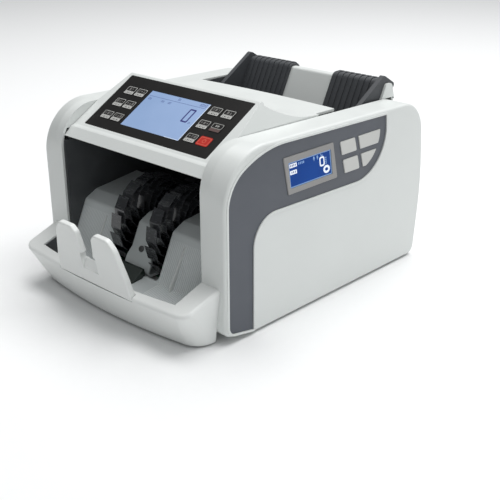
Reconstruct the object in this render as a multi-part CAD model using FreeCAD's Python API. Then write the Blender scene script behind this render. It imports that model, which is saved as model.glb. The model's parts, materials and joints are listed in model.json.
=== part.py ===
import FreeCAD, Part
import math
import os

# Banknote counting machine, in millimetres.
# X runs to the operator's right, Y to the back and Z up.
# The parts are drawn from the front face of the side shells (y = 0) and their lower edge (z = 0).
# save_parts() then moves everything so that the origin is the bottom centre of the whole machine.

V = FreeCAD.Vector

# ---------------------------------------------------------------- driving dimensions
SIDE_X = 124.4            # outer face of a side shell, from the centre plane
BEAD = 0.6                # raised bead round the grey band
SIDE_WALL = 4.0           # side wall of a shell
WALL = 2.5                # every other wall of the housing
COLUMN_X = 95.8           # inner edge of the front columns and of the top rails
SHELL_DEPTH = 283.0       # rear edge of the shells near the floor
SHOULDER_R = 40.0         # round shoulder between the front columns and the rails
RIM_SHOULDER_R = 50.0     # the shoulder's radius at the outer side face
FLARE_X = 106.0           # from here outwards the shoulder draws in towards its outer radius
RAIL_FRONT_Z = 170.0      # top of the rails where the shoulder ends
RAIL_REAR_Y, RAIL_REAR_Z = 238.0, 166.5
REAR_CORNER_Y = 279.1      # corner between the rails and the bulging back
REAR_BULGE = (289.5, 82.0)  # the back's outermost corner, before it is rounded
EDGE_R = 3.0              # rounded outer edge of the shells
FOOT_H = 2.0
FOOT_R = 8.0

BAND_FRONT_Y = 4.5        # front edge of the grey band
BAND_TOP_Z = 165.3
BAND_DEPTH = 2.0          # pocket for the band
BAND_T = 1.4              # thickness of the band
BAND_GAP = 0.15

FRAME_X = 94.0            # inner face of the black side plates
FRAME_T = 1.2

COVER_X = 95.3            # half width of the top cover
COVER_TOP_X = 87.0        # half width of the top cover at its ridge
COVER_T = 2.5
COVER_REAR = (183.0, 169.5)
COVER_BOW = 4.5           # how far the cover's rear edge draws in at its ends
PANEL_Y, PANEL_Z = 19.5, 154.2     # front edge of the operating panel
PANEL_TILT = 30.73
PANEL_L = 70.85           # panel length up the slope
PANEL_X = 83.3            # half width of the panel
RIDGE_Q = 73.0            # distance up the slope of the cover's ridge
HINGE_Y, HINGE_Z, HINGE_R = 11.0, 146.3, 1.5

KEY_SIZE = (14.4, 10.6)
KEY_COLUMNS = {"left": (-66.2, -51.2), "right": (50.0, 66.2)}
KEY_ROWS = {"top": 52.0, "middle": 34.8, "bottom": 17.3}
KEY_R = 1.8
KEY_GAP = 0.15
LCD = (-40.5, 39.1, 10.5, 58.6)    # main display window: x0, x1, q0, q1

SLANT = 0.3               # sideways lean of the side buttons, per mm of height
FRAME_SLANT = 0.228       # lean of the side display's frame
GLASS_SLANT = 0.165       # lean of its glass
BUTTON_TOP_Z = 149.8
BUTTON_GAP = 0.15

TRAY_SLOPE = 0.345        # fall of the tray's top per mm towards the operator
TRAY_TOP_Z = 51.3         # height of the tray's top at the columns
TRAY_FLOOR_Z = 23.8
STOP_LEAN = 10.5          # degrees that the note stop leans towards the machine
STOP_FOOT = (-42.6, 33.5)
STOP_T = 6.0
STOP_FOOT_X = 52.5        # half width of the note stop's foot
STACKER_PATH = [(-29.6, 26.2), (0.8, 30.0), (22.0, 75.2), (35.8, 81.9), (88.2, 88.3)]
BAY_X = 36.0              # half width of the bay for the fan wheels
TONGUE_X, TONGUE_FOOT_X = 13.5, 17.2    # half widths of the tongue and of its foot

FAN_Y, FAN_Z, FAN_R = 50.0, 62.0, 47.5
FAN_X0, FAN_X1 = 18.0, 32.0
FAN_BLADES = 16
BLADE_STEPS = 5           # flat steps that make up the curve of a blade
BLADE_T = 0.8
BLADE_ROOT_R = 12.4
FEED_Y, FEED_Z, FEED_R = 200.0, 66.0, 18.0
PICK_Y, PICK_Z, PICK_R = 225.0, 91.0, 13.0
EXIT_Y, EXIT_Z, EXIT_R = 112.0, 78.0, 10.0
RETARD_Y, RETARD_Z, RETARD_R = 188.0, 93.9, 12.0
MOTOR_Y, MOTOR_Z, MOTOR_R = 150.0, 38.0, 25.0
SHAFT_R = 4.0
BUSH_R = 7.0
RUN_GAP = 0.05            # radial clearance of every turning fit
ROLLER_X, ROLLER_W = 33.0, 14.0    # middle and width of each roller of a pair

PULLEY_MOTOR, PULLEY_SMALL, PULLEY_BIG = 8.0, 9.0, 14.0
SHAFTS = ((FAN_Y, FAN_Z), (FEED_Y, FEED_Z), (PICK_Y, PICK_Z), (EXIT_Y, EXIT_Z))

BACK_Y = 285.3            # face of the rear sockets
INLET_X, INLET_Z = 64.0, 34.0
SWITCH_X, SWITCH_Y, SWITCH_TILT = 36.0, 278.6, 8.0
PORT_X = -60.0
TONGUE_SCREW = V(0, 13.8, 50.0)
TONGUE_NORMAL = V(0, 0.9037, -0.4280)
REAR_SCREWS = ((-84.0, 282.2, 20.0), (84.0, 282.2, 20.0), (-84.0, 280.0, 120.0), (84.0, 280.0, 120.0))
VENT_X = [x * 6.0 for x in range(-7, 8)]
FOOT_X, FOOT_Y = 109.0, (50.0, 256.0)
RIB_W, RIB_PITCH, RIB_COUNT = 4.0, 7.0, 8

GUIDE_X0, GUIDE_X1 = 29.0, 93.0    # a note guide's inner and outer end
FENCE_T = 5.0
BACKREST_TOP_Z = 180.4


# ---------------------------------------------------------------- helpers
def box(x0, x1, y0, y1, z0, z1):
    return Part.makeBox(x1 - x0, y1 - y0, z1 - z0, V(x0, y0, z0))


def rod(x0, x1, y, z, r):
    """Round bar along X."""
    return Part.makeCylinder(r, x1 - x0, V(x0, y, z), V(1, 0, 0))


def mirror(shape):
    return shape.mirror(V(0, 0, 0), V(1, 0, 0))


def both_sides(make):
    """One piece on the right and its mirror image on the left."""
    right = make()
    return right, mirror(right)


def corner(before, point, after, radius):
    """Tangent points and middle of the arc that rounds a corner of a 2-D path."""
    to_before = (before - point).normalize()
    to_after = (after - point).normalize()
    half = to_before.getAngle(to_after) / 2
    cut = radius / math.tan(half)
    start = point + to_before * cut
    end = point + to_after * cut
    middle = point + (to_before + to_after).normalize() * (radius / math.sin(half) - radius)
    return start, middle, end


def rounded(points, radii=0.0, plane="yz", at=0.0):
    """Closed wire through 2-D points, with each corner rounded by its own radius."""
    if not isinstance(radii, (list, tuple)):
        radii = [radii] * len(points)
    flat = [V(a, b, 0) for a, b in points]
    edges = []
    corners = []
    for i, point in enumerate(flat):
        after = flat[(i + 1) % len(flat)]
        if radii[i] > 0:
            corners.append(corner(flat[i - 1], point, after, radii[i]))
        else:
            corners.append((point, None, point))
    for i, (start, middle, end) in enumerate(corners):
        if middle is not None:
            edges.append(Part.Arc(start, middle, end).toShape())
        following = corners[(i + 1) % len(corners)][0]
        if end.distanceToPoint(following) > 1e-6:
            edges.append(Part.makeLine(end, following))
    return to_plane(Part.Wire(edges), plane, at)


def to_plane(shape, plane, at):
    """Carry a drawing from XY to the YZ plane (x = at), XZ plane (y = at) or XY plane (z = at)."""
    shape = shape.copy()
    if plane == "yz":
        shape.Placement = FreeCAD.Placement(V(at, 0, 0), FreeCAD.Rotation(V(1, 1, 1), 120))
    elif plane == "xz":
        shape.Placement = FreeCAD.Placement(V(0, at, 0), FreeCAD.Rotation(V(1, 0, 0), 90))
    else:
        shape.Placement = FreeCAD.Placement(V(0, 0, at), FreeCAD.Rotation())
    return shape


def prism_x(wire, x0, x1):
    """Solid of a YZ outline between two X planes."""
    face = Part.Face(wire)
    face.translate(V(x0 - face.BoundBox.XMin, 0, 0))
    return face.extrude(V(x1 - x0, 0, 0))


def slab(points, radii, x0, x1):
    return prism_x(rounded(points, radii), x0, x1)


def sheet(points, radii, thickness, x0, x1):
    """Bent sheet: an open YZ path, thickened to its left, with bends of the given radii."""
    flat = [V(a, b, 0) for a, b in points]
    sides = [(b - a).normalize() for a, b in zip(flat, flat[1:])]
    normals = [V(-s.y, s.x, 0) for s in sides]
    other = [flat[0] + normals[0] * thickness]
    for i in range(1, len(flat) - 1):
        bisector = (normals[i - 1] + normals[i]).normalize()
        other.append(flat[i] + bisector * (thickness / bisector.dot(normals[i])))
    other.append(flat[-1] + normals[-1] * thickness)
    near_radii = [0.0]
    far_radii = [0.0]
    for i in range(1, len(flat) - 1):
        turns_left = sides[i - 1].cross(sides[i]).z > 0
        inside, outside = radii, radii + thickness
        near_radii.append(outside if turns_left else inside)
        far_radii.append(inside if turns_left else outside)
    near_radii.append(0.0)
    far_radii.append(0.0)
    outline = [(p.x, p.y) for p in flat] + [(p.x, p.y) for p in reversed(other)]
    return slab(outline, near_radii + far_radii[::-1], x0, x1)


def union(shapes):
    shapes = list(shapes)
    whole = shapes[0].multiFuse(shapes[1:]) if len(shapes) > 1 else shapes[0]
    return whole.removeSplitter()


def cut(shape, *tools):
    return shape.cut(list(tools)) if tools else shape


def grown(wire, amount):
    return wire.makeOffset2D(amount)


def panel(shape):
    """Carry a shape from panel coordinates (x, q up the slope, h out of the panel) to the machine."""
    shape = shape.copy()
    tilt = FreeCAD.Rotation(V(1, 0, 0), PANEL_TILT)
    shape.Placement = FreeCAD.Placement(V(0, PANEL_Y, PANEL_Z), tilt)
    return shape


def panel_block(x0, x1, q0, q1, h0, h1, radius=0.0):
    """Rounded rectangle on the operating panel, between two heights above its surface."""
    outline = rounded([(x0, q0), (x1, q0), (x1, q1), (x0, q1)], radius, "xy", h0)
    return panel(Part.Face(outline).extrude(V(0, 0, h1 - h0)))


def on_panel(q, h=0.0):
    """Machine (y, z) of a point on the operating panel."""
    tilt = math.radians(PANEL_TILT)
    return (PANEL_Y + q * math.cos(tilt) - h * math.sin(tilt),
            PANEL_Z + q * math.sin(tilt) + h * math.cos(tilt))


# ---------------------------------------------------------------- side shells and bands
def line(a, b):
    return Part.makeLine(V(a[0], a[1], 0), V(b[0], b[1], 0))


def arc(a, m, b):
    return Part.Arc(V(a[0], a[1], 0), V(m[0], m[1], 0), V(b[0], b[1], 0)).toShape()


def on_circle(centre, radius, degrees):
    angle = math.radians(degrees)
    return (centre[0] + radius * math.cos(angle), centre[1] + radius * math.sin(angle))


def arc_round(centre, radius, start, end):
    return arc(on_circle(centre, radius, start), on_circle(centre, radius, (start + end) / 2),
               on_circle(centre, radius, end))


def shell_outline(shoulder_r):
    """Side view of the housing: column, round shoulder, rail, rear corner and bulging back."""
    slope = (RAIL_REAR_Z - RAIL_FRONT_Z) / (RAIL_REAR_Y - SHOULDER_R)
    crown = (0.0, RAIL_FRONT_Z - SHOULDER_R * slope)
    back_corner = (REAR_CORNER_Y, RAIL_REAR_Z + (REAR_CORNER_Y - RAIL_REAR_Y) * slope)
    points = [(37.0, 0.0), (0.0, 6.9), crown, back_corner, REAR_BULGE, (SHELL_DEPTH, 0.0)]
    return rounded(points, [25.0, 9.0, shoulder_r, 34.0, 350.0, 10.0])


def band_outline():
    """Grey inset: up the column, round the shoulder and back along the rail to a round end."""
    top_front, top_end = BAND_TOP_Z, (218.3, 162.1)
    small_r, blend = 36.0, 120.0
    small = (BAND_FRONT_Y + small_r, 121.0)
    lift = math.sin(math.radians(blend))
    big_r = (top_front - small[1] - small_r * lift) / (1 - lift)
    join = on_circle(small, small_r, blend)
    big_y = join[0] - big_r * math.cos(math.radians(blend))
    big = (big_y, top_front - big_r)
    end = (176.5, 148.3)
    end_r = 43.1
    inner = (62.5, 79.5)
    inner_r = 28.0
    edges = [line((34.5, 3.4), (12.5, 7.5)), arc((12.5, 7.5), (6.4, 10.6), (BAND_FRONT_Y, 17.0)),
             line((BAND_FRONT_Y, 17.0), (BAND_FRONT_Y, small[1])), arc_round(small, small_r, 180, blend),
             arc_round(big, big_r, blend, 90), line((big_y, top_front), top_end),
             line(top_end, on_circle(end, end_r, 0)), arc_round(end, end_r, 0, -90),
             line(on_circle(end, end_r, -90), on_circle(inner, inner_r, 90)),
             arc_round(inner, inner_r, 90, 180), line((34.5, 79.5), (34.5, 3.4))]
    return to_plane(Part.Wire(edges), "yz", 0.0)


def leaning(y_left, y_right, z_low, z_high, slant=SLANT):
    """Four corners of a block whose sides lean back towards the bottom."""
    low, high = slant * (BUTTON_TOP_Z - z_low), slant * (BUTTON_TOP_Z - z_high)
    return [(y_left + low, z_low), (y_right + low, z_low),
            (y_right + high, z_high), (y_left + high, z_high)]


DISPLAY_FRAME = leaning(71.0, 138.6, 117.0, 151.9, FRAME_SLANT)
DISPLAY_GLASS = leaning(76.4, 133.9, 122.4, 146.4, GLASS_SLANT)
BUTTON_Z = ((136.8, BUTTON_TOP_Z), (118.2, 131.6))


def button_outline(number, grow=0.0):
    """Buttons 1 and 2 are in the upper row, 3 and 4 below; 2 and 4 follow the band's round end."""
    z_low, z_high = BUTTON_Z[(number - 1) // 2]
    if number in (1, 3):
        outline = rounded(leaning(148.0, 169.8, z_low, z_high), 1.2)
    else:
        end, end_r = (176.5, 148.3), 32.6
        left = leaning(175.4, 176.4, z_low, z_high)
        right_low = end[0] + math.sqrt(end_r ** 2 - (end[1] - z_low) ** 2)
        right_high = end[0] + math.sqrt(end_r ** 2 - (end[1] - z_high) ** 2)
        middle_z = (z_low + z_high) / 2
        middle = (end[0] + math.sqrt(end_r ** 2 - (end[1] - middle_z) ** 2), middle_z)
        edges = [line(left[0], (right_low, z_low)), arc((right_low, z_low), middle, (right_high, z_high)),
                 line((right_high, z_high), left[3]), line(left[3], left[0])]
        outline = to_plane(Part.Wire(edges), "yz", 0.0)
    return grown(outline, grow) if grow else outline


def flared(inner, outer, x0, x1):
    """Solid with the inner outline from x0 to the flare line, drawn in to the outer one at x1."""
    sections = [inner.copy(), inner.copy(), outer.copy()]
    for section, x in zip(sections, (x0, FLARE_X, x1)):
        section.translate(V(x, 0, 0))
    return Part.makeLoft(sections, True, True)


def make_shell():
    """Right side shell: a pan with a front column, shoulder, rail, rear and bottom flange."""
    inner, outer = shell_outline(SHOULDER_R), shell_outline(RIM_SHOULDER_R)
    body = flared(inner, outer, COLUMN_X, SIDE_X)
    rim = [e for e in body.Edges if abs(e.BoundBox.XMin - SIDE_X) < 1e-4 and e.BoundBox.XLength < 1e-3]
    body = body.makeFillet(EDGE_R, rim)
    hollow = flared(grown(inner, -WALL), grown(outer, -WALL), COLUMN_X - 1, SIDE_X - SIDE_WALL)
    cheek = [(1.0, 149.2), (14.0, 149.2), (30.0, 156.0), (46.0, 165.3), (46.0, 175.0), (1.0, 175.0)]
    cheek = slab(cheek, 0, COLUMN_X, COLUMN_X + WALL).common(prism_x(inner, COLUMN_X, FLARE_X))
    band = band_outline()
    bead = prism_x(grown(band, 2.0), SIDE_X - 1.0, SIDE_X + BEAD)
    pocket = prism_x(band, SIDE_X - BAND_DEPTH, SIDE_X + 2)
    return cut(body, hollow).multiFuse([cheek, bead]).cut(pocket)


def control_window():
    """Opening behind the side controls."""
    points = [(66, 114), (194, 114), (212, 138), (212, 156), (66, 156)]
    return slab(points, 3.0, SIDE_X - SIDE_WALL - 1, SIDE_X)


def make_band():
    band = grown(band_outline(), -BAND_GAP)
    x0 = SIDE_X - BAND_DEPTH
    return prism_x(band, x0, x0 + BAND_T)


def right_band_openings():
    x0, x1 = SIDE_X - 6, SIDE_X + 2
    openings = [prism_x(grown(rounded(DISPLAY_FRAME, 1.5), BAND_GAP), x0, x1)]
    for number in range(1, 5):
        openings.append(prism_x(button_outline(number, BUTTON_GAP), x0, x1))
    return openings


def make_side_controls():
    face = SIDE_X + 0.4
    frame = prism_x(rounded(DISPLAY_FRAME, 1.5), SIDE_X - 7, face)
    rim = [e for e in frame.Edges if abs(e.BoundBox.XMin - face) < 1e-4 and e.BoundBox.XLength < 1e-3]
    frame = frame.makeChamfer(0.5, rim)
    window = prism_x(rounded(DISPLAY_GLASS, 0.8), SIDE_X - 8, SIDE_X + 2)
    glass = prism_x(grown(rounded(DISPLAY_GLASS, 0.8), -0.1), SIDE_X - 5, SIDE_X - 0.3)
    parts = {"side_display_frame": cut(frame, window), "side_display": glass}
    back = SIDE_X - BAND_DEPTH
    for number in range(1, 5):
        cap = prism_x(button_outline(number), back - 0.4, face)
        rim = [e for e in cap.Edges if abs(e.BoundBox.XMin - face) < 1e-4 and e.BoundBox.XLength < 1e-3]
        cap = cap.makeFillet(0.5, rim)
        flange = prism_x(button_outline(number, 0.9), back - 1.4, back - 0.3)
        parts["side_button_%d" % number] = union([cap, flange])
    return parts


# ---------------------------------------------------------------- top cover and panel
def cover_profile():
    """Side view: rounded lip, raised panel slab, ridge, concave back and flat rear edge."""
    lip_low, lip_high, lip_round = (4.2, 143.0), (12.4, 150.9), (13.9, 151.6)
    slab_high = on_panel(-3.4, 0.0)
    ridge = on_panel(RIDGE_Q)
    ridge_end = (ridge[0] + 5.6, ridge[1] - 2.9)
    hollow_r = 118.0
    hollow = (150.0, COVER_REAR[1] + 0.2 + hollow_r)
    fall = math.degrees(math.acos(min(1.0, (hollow[1] - ridge_end[1]) / hollow_r)))
    join = on_circle(hollow, hollow_r, 270 - fall)
    edges = [line(lip_low, lip_high), arc(lip_high, lip_round, slab_high), line(slab_high, ridge),
             arc(ridge, (ridge[0] + 3.0, ridge[1] - 0.2), join),
             arc_round(hollow, hollow_r, 270 - fall, 270), line((150.0, COVER_REAR[1] + 0.2), COVER_REAR),
             line(COVER_REAR, (COVER_REAR[0], 164.0)), line((COVER_REAR[0], 164.0), (60.0, 152.5)),
             line((60.0, 152.5), (28.0, 143.0)), line((28.0, 143.0), lip_low)]
    return to_plane(Part.Wire(edges), "yz", 0.0)


def make_top_cover():
    profile = cover_profile()
    outer = prism_x(profile, -COVER_X, COVER_X)
    lean = [(COVER_X, 170.0), (130.0, 170.0), (130.0, 200.0), (COVER_TOP_X - 3.2, 200.0)]
    side = Part.Face(rounded(lean, 0, "xz", 200)).extrude(V(0, -160, 0))
    end_y = COVER_REAR[0] - COVER_BOW
    rear = [arc((-100.0, end_y), (0.0, COVER_REAR[0]), (100.0, end_y)), line((100.0, end_y), (100.0, 200.0)),
            line((100.0, 200.0), (-100.0, 200.0)), line((-100.0, 200.0), (-100.0, end_y))]
    rear = Part.Face(to_plane(Part.Wire(rear), "xy", 150.0)).extrude(V(0, 0, 50))
    outer = cut(outer, side, mirror(side), rear)
    inner_x, top_x = COVER_X - COVER_T, COVER_TOP_X - COVER_T
    room = [(-inner_x, 120), (inner_x, 120), (inner_x, 168), (top_x - 3.2, 198),
            (-top_x + 3.2, 198), (-inner_x, 168)]
    room = Part.Face(rounded(room, 0, "xz", 200)).extrude(V(0, -200, 0))
    inside = prism_x(grown(profile, -COVER_T), -inner_x, inner_x)
    below = inside.copy()
    below.translate(V(0, 0, -6))
    hollow = union([inside, below]).common(room)
    cover = cut(outer, hollow)
    pocket = panel_block(-PANEL_X - 0.15, PANEL_X + 0.15, -0.15, PANEL_L + 0.15, -1.3, 3.0, 1.5)
    x0, x1, q0, q1 = LCD
    screen = panel_block(x0 - 1, x1 + 1, q0 - 1, q1 + 1, -6, 1)
    tools = [pocket, screen]
    for low, high in KEY_COLUMNS.values():
        half = KEY_SIZE[0] / 2 + 0.8
        tools.append(panel_block(low - half, high + half, 10.5, 58.5, -6, 1))
    for side in (-1, 1):
        x = side * COVER_X
        tools.append(box(x - 3.5, x + 3.5, 152.0, 190.0, 150.0, 175.0))
        tools.append(rod(x - 5, x + 5, HINGE_Y, HINGE_Z, HINGE_R))
    return cut(cover, *tools)


def key_centres():
    for side, columns in KEY_COLUMNS.items():
        for column, x in enumerate(columns, 1):
            for row, q in KEY_ROWS.items():
                yield "key_%s_%s_%d" % (side, row, column), x, q


def key_block(x, q, h0, h1, grow=0.0):
    half_x, half_q = KEY_SIZE[0] / 2 + grow, KEY_SIZE[1] / 2 + grow
    return panel_block(x - half_x, x + half_x, q - half_q, q + half_q, h0, h1, KEY_R + grow)


def make_panel():
    membrane = panel_block(-PANEL_X, PANEL_X, 0, PANEL_L, -1.25, -0.2, 1.5)
    x0, x1, q0, q1 = LCD
    windows = [panel_block(x0, x1, q0, q1, -3, 2)]
    parts = {}
    for name, x, q in key_centres():
        windows.append(key_block(x, q, -3, 2, KEY_GAP))
        parts[name] = key_block(x, q, -4.6, 0.1)
    parts["panel_membrane"] = cut(membrane, *windows)
    parts["main_display"] = panel_block(x0 + 0.1, x1 - 0.1, q0 + 0.1, q1 - 0.1, -5.0, -0.5)
    board = panel_block(-80, 80, 4, 66, -7.6, -6.0)
    chips = [panel_block(x, x + 12, 20, 32, -9.6, -7.6) for x in (-60, -10, 40)]
    parts["panel_board"] = union([board] + chips)
    return parts


def make_hinge_pins():
    return Part.makeCompound([rod(COVER_X - COVER_T, 99.0, HINGE_Y, HINGE_Z, HINGE_R),
                              rod(-99.0, COVER_T - COVER_X, HINGE_Y, HINGE_Z, HINGE_R)])


# ---------------------------------------------------------------- tray, stop and stacker
def tray_section(z, half, y_side, y_middle, radius, y_back=0.0):
    """Plan outline of the tray: straight back, sides, round corners and a bowed front."""
    start = (half, y_side + radius)
    bend = (half - radius * 0.293, y_side + radius * 0.293)
    end = (half - radius, y_side)
    edges = [line((-half, y_back), (half, y_back)), line((half, y_back), start), arc(start, bend, end),
             arc(end, (0.0, y_middle), (-end[0], end[1])),
             arc((-end[0], end[1]), (-bend[0], bend[1]), (-start[0], start[1])),
             line((-start[0], start[1]), (-half, y_back))]
    return to_plane(Part.Wire(edges), "xy", z)


def under_slope(drop, x=130.0):
    """Everything below the tray's sloping top, lowered by drop."""
    z_back = TRAY_TOP_Z - drop + 40 * TRAY_SLOPE
    z_front = TRAY_TOP_Z - drop - 60 * TRAY_SLOPE
    return slab([(-60, -5), (40, -5), (40, z_back), (-60, z_front)], 0, -x, x)


def tray_well(z0, z1, shrink=0.0):
    """Well for the notes: straight sides and a bowed front edge."""
    half = FRAME_X + 1.3 - shrink
    front, middle = -30.5 + shrink, -36.0 + shrink
    edges = [line((-half, 30), (half, 30)), line((half, 30), (half, front)),
             arc((half, front), (0, middle), (-half, front)), line((-half, front), (-half, 30))]
    return Part.Face(to_plane(Part.Wire(edges), "xy", z0)).extrude(V(0, 0, z1 - z0))


def lean(shape):
    """Carry a shape from the note stop's own upright drawing to its leaning place."""
    shape = shape.copy()
    shape.rotate(V(0, 0, 0), V(1, 0, 0), STOP_LEAN)
    shape.translate(V(0, STOP_FOOT[0], STOP_FOOT[1]))
    return shape


def stop_seat():
    """Slot in the tray's rim, open to the front, with a shadow gap under the plate's front edge."""
    half = STOP_FOOT_X + 0.1
    step = STOP_T / 3
    return union([box(-half, half, step, STOP_T + 0.1, 0.0, 20.0), box(-half, half, -12.0, step, -0.8, 20.0)])


def on_tray_top(edge):
    """True for an outer edge of the tray's sloping top."""
    ends = [v.Point for v in edge.Vertexes]
    level = all(abs(p.z - TRAY_TOP_Z - TRAY_SLOPE * p.y) < 0.01 for p in ends)
    return level and min(p.y for p in ends) < -1


def make_tray():
    body = Part.makeLoft([tray_section(0, 112.0, -22.5, -30.0, 19.0),
                          tray_section(56.0, 118.8, -50.5, -52.5, 8.0)], True, True)
    body = body.common(under_slope(0.0))
    rim = [e for e in body.Edges if on_tray_top(e)]
    body = body.makeFillet(3.0, rim)
    inside = Part.makeLoft([tray_section(-1.0, 109.0, -19.5, -27.0, 16.0, -WALL),
                            tray_section(56.0, 115.8, -47.0, -49.5, 6.0, -WALL)], True, True)
    inside = inside.common(under_slope(7.0))
    keep = tray_well(TRAY_FLOOR_Z - WALL, 60.0, -WALL)
    floor = box(-93.5, 93.5, -1.0, 20.0, TRAY_FLOOR_Z - WALL, TRAY_FLOOR_Z)
    hollowed = union([cut(body, cut(inside, keep), tray_well(TRAY_FLOOR_Z, 60.0)), floor])
    return cut(hollowed, lean(stop_seat()))


def make_note_stop():
    """Two-lobed plate, drawn flat with its foot at height 0 and then leaned forward."""
    points = [(-STOP_FOOT_X, 0), (STOP_FOOT_X, 0), (49.6, 18), (41.5, 46.5), (34.0, 55.0), (16.5, 55.0),
              (11.0, 50.0), (6.4, 22.5), (-6.4, 22.5), (-11.0, 50.0), (-16.5, 55.0), (-34.0, 55.0),
              (-41.5, 46.5), (-49.6, 18)]
    radii = [0, 0, 30, 14, 6, 4.5, 5, 2.5, 2.5, 5, 4.5, 6, 14, 30]
    face = Part.Face(rounded(points, radii, "xz", 0))
    plate = face.extrude(V(0, STOP_T, 0))
    edges = [e for e in plate.Edges if e.BoundBox.YLength < 1e-3 and e.BoundBox.ZMax > 1]
    plate = plate.makeFillet(1.6, edges)
    ramp = [(-1, 12.5), (-1, 30), (STOP_T + 1, 30), (STOP_T + 1, 23.5), (STOP_T - 1, 22.0), (1.0, 14.0)]
    ramp = slab(ramp, 0, -11, 11)
    plate = cut(plate, ramp)
    back = [(-48.5, 4), (48.5, 4), (45.6, 18), (38.0, 44.5), (33.0, 51.0), (17.5, 51.0), (14.8, 48.0),
            (10.5, 12), (-10.5, 12), (-14.8, 48.0), (-17.5, 51.0), (-33.0, 51.0), (-38.0, 44.5), (-45.6, 18)]
    recess = Part.Face(rounded(back, 2.0, "xz", 2.2)).extrude(V(0, 10, 0))
    return lean(cut(plate, recess))


def make_stacker():
    """Ribbed plate: the floor of the tray and two lobes with a bay for the fan wheels between."""
    plate = sheet(STACKER_PATH, 6.0, -2.0, -FRAME_X + 0.1, FRAME_X - 0.1)
    bay = [(-BAY_X, 31.0), (BAY_X, 31.0), (BAY_X, 130.0), (-BAY_X, 130.0)]
    bay = Part.Face(rounded(bay, [6, 6, 0, 0], "xz", 120)).extrude(V(0, -124, 0))
    front = box(-FRAME_X, FRAME_X, -40, -29.0, 20, 40)
    return cut(plate, bay, cut(front, tray_well(20, 60, 0.2)))


def make_tongue():
    """Plate between the fan wheels, set back behind the lobes, with a wider foot."""
    path = [(22.0, 28.0), (3.4, 28.0), (24.0, 71.5), (36.0, 77.5), (58.0, 79.5)]
    wide, narrow = TONGUE_FOOT_X, TONGUE_X
    plate = sheet(path, 4.0, -2.0, -wide - 1, wide + 1)
    outline = [(-wide, 20.0), (wide, 20.0), (wide, 41.0), (narrow, 50.0), (narrow, 90.0), (-narrow, 90.0),
               (-narrow, 50.0), (-wide, 41.0)]
    outline = rounded(outline, [0, 0, 6, 6, 0, 0, 6, 6], "xz", 70.0)
    return plate.common(Part.Face(outline).extrude(V(0, -80, 0)))


def blade_outline():
    """Side view of a spring blade: it curves out from the hub and ends in line with the wheel's rim."""
    tip_r = FAN_R - BLADE_T / 2
    curve_r = (tip_r ** 2 + BLADE_ROOT_R ** 2) / (2 * tip_r)
    centre = (0, curve_r - tip_r)
    root = math.degrees(math.atan2(-centre[1], BLADE_ROOT_R))
    turn = (-90.0 - root) / BLADE_STEPS
    turns = [root + turn * i for i in range(BLADE_STEPS + 1)]
    near = [V(0, *on_circle(centre, curve_r - BLADE_T / 2, t)) for t in turns]
    far = [V(0, *on_circle(centre, curve_r + BLADE_T / 2, t)) for t in turns]
    return Part.makePolygon(near + far[::-1] + near[:1])


def fan_wheel():
    """Hub with curved spring blades; the tips trail behind the direction of turning."""
    blade = prism_x(blade_outline(), FAN_X0, FAN_X1)
    pieces = [rod(FAN_X0, FAN_X1, 0, 0, BLADE_ROOT_R + 0.6)]
    for i in range(FAN_BLADES):
        turned = blade.copy()
        turned.rotate(V(0, 0, 0), V(1, 0, 0), i * 360.0 / FAN_BLADES)
        pieces.append(turned)
    wheel = union(pieces).cut(rod(FAN_X0 - 1, FAN_X1 + 1, 0, 0, SHAFT_R))
    wheel.translate(V(0, FAN_Y, FAN_Z))
    return wheel


# ---------------------------------------------------------------- rear cover and note guides
HOPPER_LOW = (222.0, 110.0)
HOPPER_TOP = (257.6, BACKREST_TOP_Z)


def cover_wedge(grow=0.0):
    """Side view of the rear cover as a filled wedge, offset outwards by grow."""
    points = [HOPPER_LOW, HOPPER_TOP, (266.5, BACKREST_TOP_Z), (279.3, 140.0), (284.6, 82.0),
              (SHELL_DEPTH, 0.2), (240.0, 0.2)]
    wire = rounded(points, [0, 4.0, 5.0, 60.0, 300.0, 0, 0])
    return grown(wire, grow) if grow else wire


def make_rear_cover():
    """Backrest of the hopper and rear wall in one bent shell, with sockets and screw holes."""
    half = COLUMN_X - 0.3
    shell = prism_x(cover_wedge(), -half, half)
    inside = prism_x(cover_wedge(-WALL), -COLUMN_X - 1, COLUMN_X + 1)
    lower = inside.copy()
    lower.translate(V(0, 0, -4))
    front = slab([(200, -5), (200, 60), HOPPER_LOW, (234.0, 110.0), (276.0, 20.0), (276.0, -5)], 0, -100, 100)
    shell = cut(shell, inside, lower, front)
    side = slab([(200, 100), (218, 100), (259.0, 180.0), (276.0, 158.0), (276.0, -5), (200, -5)], 0, 0, 4)
    above_shells = box(-100, 100, 200, 290, 165.9, 200)
    ends = [prism_x(cover_wedge(), x, x + 2.0).common(above_shells) for x in (-half, half - 2.0)]
    shell = union([shell] + ends)
    trims = []
    for x in (FRAME_X - 0.3, -FRAME_X + 0.3 - 4):
        trim = side.copy()
        trim.translate(V(x - trim.BoundBox.XMin, 0, 0))
        trims.append(trim.common(box(-100, 100, 190, 280, -5, 165.9)))
    shell = cut(shell, *trims)
    tools = [box(INLET_X - 13.7, INLET_X + 13.7, 270, 300, INLET_Z - 9.7, INLET_Z + 9.7),
             box(SWITCH_X - 11.1, SWITCH_X + 11.1, 270, 300, INLET_Z - 8.1, INLET_Z + 8.1),
             box(PORT_X - 8.1, PORT_X + 8.1, 270, 300, INLET_Z - 6.6, INLET_Z + 6.6)]
    for x, y, z in REAR_SCREWS:
        tools.append(Part.makeCylinder(1.6, 30, V(x, 270, z), V(0, 1, 0)))
        tools.append(Part.makeCylinder(3.4, 10, V(x, y, z), V(0, 1, 0)))
    for x in VENT_X:
        tools.append(box(x, x + 3.0, 270, 300, 62.0, 96.0))
    for x in (-ROLLER_X, ROLLER_X):
        tools.append(box(x - 9, x + 9, 200, 240, 80, 112.5))
    return cut(shell, *tools)


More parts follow.
